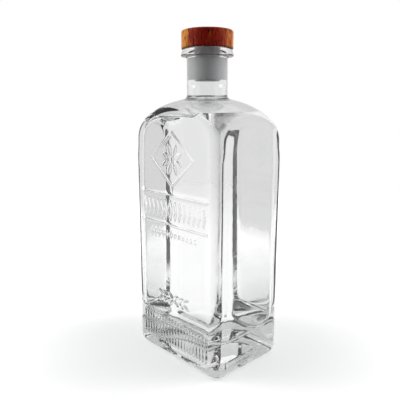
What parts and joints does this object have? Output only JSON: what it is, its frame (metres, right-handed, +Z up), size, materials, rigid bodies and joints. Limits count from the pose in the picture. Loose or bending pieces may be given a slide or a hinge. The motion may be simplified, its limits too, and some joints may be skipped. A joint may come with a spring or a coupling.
{
  "type": "liquor bottle",
  "caption": "Rectangular clear glass spirit bottle with a domed shoulder, round neck, raised pattern on its wide face, a clear fill and a lift-off stopper with a wooden head.",
  "frame": {"origin": "centre of the base, on the surface the bottle stands on", "axes": "+Z up along the neck; the wide face with the raised pattern looks towards -Y; the narrow face with the raised frame looks towards +X"},
  "size_m": [0.0884, 0.0669, 0.2335],
  "materials": {
    "clear_glass": "polished clear moulded glass",
    "clear_spirit": "clear colourless liquid",
    "oiled_wood": "oiled red-brown wood, satin",
    "pale_shank": "moulded synthetic, matt pale grey"
  },
  "bodies": {
    "bottle": {"glass_bottle": "clear_glass", "liquor": "clear_spirit"},
    "stopper": {"stopper_head": "oiled_wood", "stopper_shank": "pale_shank"}
  },
  "joints": [
    {"name": "stopper_lift", "type": "slide", "parent": "bottle", "child": "stopper", "axis": [0, 0, 1], "range_m": [0, 0.045]}
  ]
}
